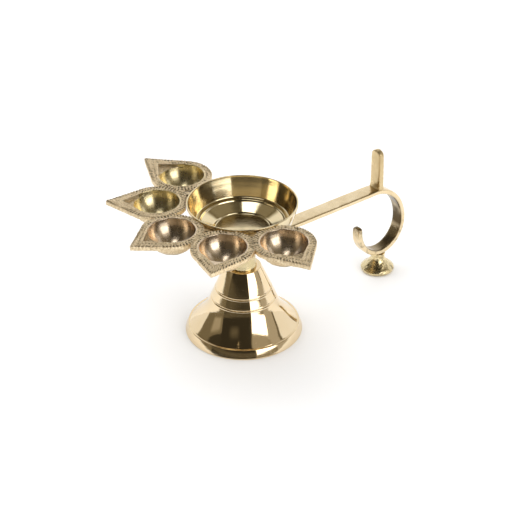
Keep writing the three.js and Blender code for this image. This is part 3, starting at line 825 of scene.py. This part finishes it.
# The neck's top follows the ellipse of the hook's outside, a little way into the braze.
hook_under = hook_belly - 18.4 * np.sqrt(1 - (np.clip(rest_grid[..., 0], -15, 15) / 17.0) ** 2)
is_neck = eased((rest_grid[..., 2] - neck_start) / 2.4)
rest_grid[..., 2] += is_neck * (hook_under + 0.08 - neck_top)
rest_height = 0.14 * grain(rest_grid, 2.3, 91) + 0.10 * grain(rest_grid, 1.0, 92) - 0.14
rest_height *= eased(rest_grid[..., 2] / 0.8)
rest_grid = raised(rest_grid, rest_height)
rest_grid[..., 0] += rest_x
rest_finish = chased_brass(
    "rest_tumbled_brass", (0.68, 0.55, 0.30), (0.84, 0.71, 0.44), (0.8, 0.6, 0.4), 0.13, 0.25
)
skin("rest_foot_cast", rest_grid, rest_finish, "rest_foot",
     masks={"dirt_and_shade": eased((-rest_height - 0.16) / 0.22)})


# ---- stud, washer and nut --------------------------------------------------------------------
# Plain steel fixing up the middle of the lamp: a stud threaded at both ends into the bowl's
# foot, with a washer and a hexagon nut under the bell's crown.

def plain_steel(name, tint, shade):
    """Dull zinc-plated steel with small dark spots and a faint overall mottling."""
    material, nodes, link, shader = new_material(name)
    coords = nodes.new("ShaderNodeTexCoord").outputs["Object"]
    spots = noise_on(nodes, link, coords, 700, 4.0, 0.7)
    mottled = blended(nodes, link, spread(nodes, link, spots, 0, 1), tint, shade)
    link(mottled, shader.inputs["Base Color"])
    link(spread(nodes, link, spots, 0.28, 0.5), shader.inputs["Roughness"])
    link(bumped(nodes, link, spots, 0.3, 0.0002), shader.inputs["Normal"])
    return material


steel_finish = plain_steel("fixing_zinc_steel", (0.62, 0.61, 0.58), (0.42, 0.41, 0.40))

stud_low, stud_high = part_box("centre_stud")
stud_radius = (stud_high.x - stud_low.x) / 2 / MM
stud_line = evened(np.array([(stud_radius, stud_low.z / MM), (stud_radius, stud_high.z / MM)]), 0.1)
stud_grid = turned(stud_line, 48)
stud_turn = np.linspace(0, 1, 48, endpoint=False)
# The thread is a triangle wave that climbs one pitch in a turn, on the stud's two ends.
thread_pitch, thread_length = 0.8, 9.0
thread = np.abs((stud_grid[..., 2] / thread_pitch - stud_turn) % 1 - 0.5) * 2
stud_end = np.minimum(stud_grid[..., 2] - stud_low.z / MM, stud_high.z / MM - stud_grid[..., 2])
threaded = eased(1 - (stud_end - thread_length) / 0.6)
thinned = 1 - 0.16 * thread * threaded - 0.2 * eased(1 - stud_end / 0.6)
stud_grid[..., :2] *= thinned[..., None]
skin("centre_stud_threaded", stud_grid, steel_finish, "centre_stud")

washer_low, washer_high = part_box("nut_washer")
washer_radius = (washer_high.x - washer_low.x) / 2 / MM
washer_z = (washer_low.z / MM, washer_high.z / MM)
washer_profile = rounded([
    (stud_bore, washer_z[0] + 0.5), (stud_bore, washer_z[0]), (washer_radius, washer_z[0]),
    (washer_radius, washer_z[1]), (stud_bore, washer_z[1]), (stud_bore, washer_z[0] + 0.6),
], 0.2, 4)
skin("nut_washer_pressed", turned(washer_profile, 72), steel_finish, "nut_washer",
     ring=True)

nut_low, nut_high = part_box("stud_nut")
nut_flats = (nut_high.y - nut_low.y) / 2 / MM
nut_z = (nut_low.z / MM, nut_high.z / MM)
nut_corner = nut_flats / math.cos(math.pi / 6)
nut_profile = rounded([
    (stud_bore, nut_z[0] + 1.5), (stud_bore, nut_z[0] + 0.3), (stud_bore + 0.4, nut_z[0]),
    (nut_flats - 0.1, nut_z[0]), (nut_corner, nut_z[0] + 0.7),
    (nut_corner, nut_z[1] - 0.7), (nut_flats - 0.1, nut_z[1]),
    (stud_bore + 0.4, nut_z[1]), (stud_bore, nut_z[1] - 0.3), (stud_bore, nut_z[0] + 1.6),
], 0.15, 4)
nut_grid = turned(nut_profile, 144)
# The turned blank is cut back to six flats, at flats / cos(angle from the middle of a flat).
nut_angle = np.linspace(0, 2 * np.pi, 144, endpoint=False)
hexagon = nut_flats / np.cos((nut_angle + math.pi / 3) % (math.pi / 3) - math.pi / 6)
nut_out = np.hypot(nut_grid[..., 0], nut_grid[..., 1])
nut_grid[..., :2] *= (np.minimum(nut_out, hexagon) / nut_out)[..., None]
skin("stud_nut_hexagon", nut_grid, steel_finish, "stud_nut", ring=True)


# ---- floor, light and camera -----------------------------------------------------------------
# Pale matt table in a white studio: tent walls all round, a tall bright window to the camera's
# right, a grey card to its left, a softbox overhead, and the dim room behind the camera.

floor_mesh = bpy.data.meshes.new("pale_floor")
floor_half = 3.0
floor_mesh.from_pydata(
    [(-floor_half, -floor_half, 0), (floor_half, -floor_half, 0),
     (floor_half, floor_half, 0), (-floor_half, floor_half, 0)], [], [(0, 1, 2, 3)]
)
floor = bpy.data.objects.new("pale_floor", floor_mesh)
bpy.context.scene.collection.objects.link(floor)
floor_paint = bpy.data.materials.new("pale_matt_floor")
floor_paint.use_nodes = True
floor_shader = floor_paint.node_tree.nodes["Principled BSDF"]
floor_shader.inputs["Base Color"].default_value = (0.93, 0.93, 0.93, 1)
floor_shader.inputs["Roughness"].default_value = 0.9
floor_shader.inputs["Specular IOR Level"].default_value = 0.1
floor_mesh.materials.append(floor_paint)

view_turn = math.radians(37.44)      # the handle's plan direction from the camera's right
view_rise = math.radians(31.64)
view_roll = math.radians(-0.5)
camera_distance = 0.900
aim_right, aim_up = -0.00662, -0.03886
right = Vector((math.cos(view_turn), -math.sin(view_turn), 0))
forward = Vector((
    math.sin(view_turn) * math.cos(view_rise),
    math.cos(view_turn) * math.cos(view_rise),
    -math.sin(view_rise),
))
up = right.cross(forward)
camera_right = right * math.cos(view_roll) + up * math.sin(view_roll)
camera_up = up * math.cos(view_roll) - right * math.sin(view_roll)
camera_data = bpy.data.cameras.new("camera")
camera_data.sensor_width = 36
camera_data.lens = 115.36
camera = bpy.data.objects.new("camera", camera_data)
bpy.context.scene.collection.objects.link(camera)
place = Vector(lamp_axis) - (camera_right * aim_right + camera_up * aim_up + forward * camera_distance)
turn = Matrix((camera_right, camera_up, -forward)).transposed().to_4x4()
camera.matrix_world = Matrix.Translation(place) @ turn
bpy.context.scene.camera = camera

world = bpy.data.worlds.new("white_studio")
bpy.context.scene.world = world
world.use_nodes = True
sky = world.node_tree.nodes
join = world.node_tree.links.new
background = sky["Background"]


def sky_math(operation, *values):
    """One step of arithmetic in the studio's light, on numbers or sockets."""
    node = sky.new("ShaderNodeMath")
    node.operation = operation
    for socket, value in zip(node.inputs, values):
        if isinstance(value, (int, float)):
            socket.default_value = value
        else:
            join(value, socket)
    return node.outputs["Value"]


sky_way = sky.new("ShaderNodeTexCoord").outputs["Generated"]
sky_turn = sky.new("ShaderNodeVectorRotate")
sky_turn.rotation_type = "Z_AXIS"
sky_turn.inputs["Angle"].default_value = view_turn
join(sky_way, sky_turn.inputs["Vector"])
sky_parts = sky.new("ShaderNodeSeparateXYZ")
join(sky_turn.outputs["Vector"], sky_parts.inputs["Vector"])
# Bearing is 0 towards the camera and grows to its right; rise is the angle above the table.
toward_camera = sky_math("MULTIPLY", sky_parts.outputs["Y"], -1.0)
bearing = sky_math("MULTIPLY", sky_math("ARCTAN2", sky_parts.outputs["X"], toward_camera), 180 / math.pi)
rise = sky_math("MULTIPLY", sky_math("ARCSINE", sky_parts.outputs["Z"]), 180 / math.pi)


def ramp(value, start, stop):
    """A smoothstep of the value, from 0 at the start to 1 at the stop."""
    node = sky.new("ShaderNodeMapRange")
    node.interpolation_type = "SMOOTHSTEP"
    node.inputs["From Min"].default_value = start
    node.inputs["From Max"].default_value = stop
    join(value, node.inputs["Value"])
    return node.outputs["Result"]


def hung(light, bearing_from, bearing_to, rise_from, rise_to, soft, strength):
    """The light with a panel hung in front of it: inside a rectangle of bearings and rises, in
    degrees and with a soft edge, its strength takes the place of what was there."""
    across = sky_math("MULTIPLY", ramp(bearing, bearing_from - soft, bearing_from + soft),
                      ramp(bearing, bearing_to + soft, bearing_to - soft))
    upward = sky_math("MULTIPLY", ramp(rise, rise_from - soft, rise_from + soft),
                      ramp(rise, rise_to + soft, rise_to - soft))
    cover = sky_math("MULTIPLY", across, upward)
    kept = sky_math("MULTIPLY", light, sky_math("SUBTRACT", 1.0, cover))
    return sky_math("ADD", kept, sky_math("MULTIPLY", cover, strength))


light = sky_math("ADD", sky_math("MULTIPLY", ramp(rise, 46, 38), 0.92), 0.08)
# Each panel: bearing from and to, rise from and to, softness of its edges, strength.
for sky_panel in (
    (-200, -120, 46, 66, 3.0, 0.26),      # the tent's shoulder, behind the lamp on both sides
    (120, 200, 46, 72, 3.0, 0.26),
    (-180, -108, 67, 82, 1.5, 3.0),       # softbox overhead, a little behind the lamp
    (66, 110, 40, 56, 4.0, 0.25),
    (-114, -64, -5, 39, 1.0, 0.20),       # grey card to the left, paler in its middle
    (-90, -68, 10, 33, 4.0, 0.42),
    (-120, -60, 38.5, 70, 0.7, 0.05),
    (-64, 23, -5, 90, 2.0, 0.04),         # dim room past the camera, with a paler floor
    (-64, 23, 4.5, 10.5, 1.5, 0.12),
    (-38, -16, 34, 48, 8.0, 0.13),
    (23, 68, 43, 62, 3.0, 0.40),          # glow on the tent above and below the window
    (23, 66, -5, 7.2, 1.0, 0.28),
    (66, 91, -5, 48, 1.5, 0.48),          # tent wall in half shade, then a seam
    (91, 96, -5, 52, 1.5, 0.12),
    (24, 66, 6.8, 43, 0.7, 3.2),          # tall window to the right of the camera
):
    light = hung(light, *sky_panel)
# Matt surfaces, the floor among them, are lit by plain bounced light, stronger from the left.
ray = sky.new("ShaderNodeLightPath").outputs
matt_light = hung(sky_math("ADD", 0.98, 0.0), -180, -70, 25, 80, 12.0, 2.0)
for ray_kind, strength in ((ray["Is Diffuse Ray"], matt_light), (ray["Is Camera Ray"], 1.0)):
    choose = sky.new("ShaderNodeMix")
    join(ray_kind, choose.inputs["Factor"])
    join(light, choose.inputs["A"])
    if isinstance(strength, float):
        choose.inputs["B"].default_value = strength
    else:
        join(strength, choose.inputs["B"])
    light = choose.outputs["Result"]
join(light, background.inputs["Strength"])
# What little light comes off the dim panels is yellowed by the brass dust and card around it.
tint = sky.new("ShaderNodeMix")
tint.data_type = "RGBA"
tint.inputs["A"].default_value = (1.0, 0.86, 0.58, 1)
tint.inputs["B"].default_value = (1.0, 1.0, 1.0, 1)
join(ramp(light, 0.1, 0.9), tint.inputs["Factor"])
join(tint.outputs["Result"], background.inputs["Color"])

bpy.context.scene.view_settings.view_transform = "Standard"
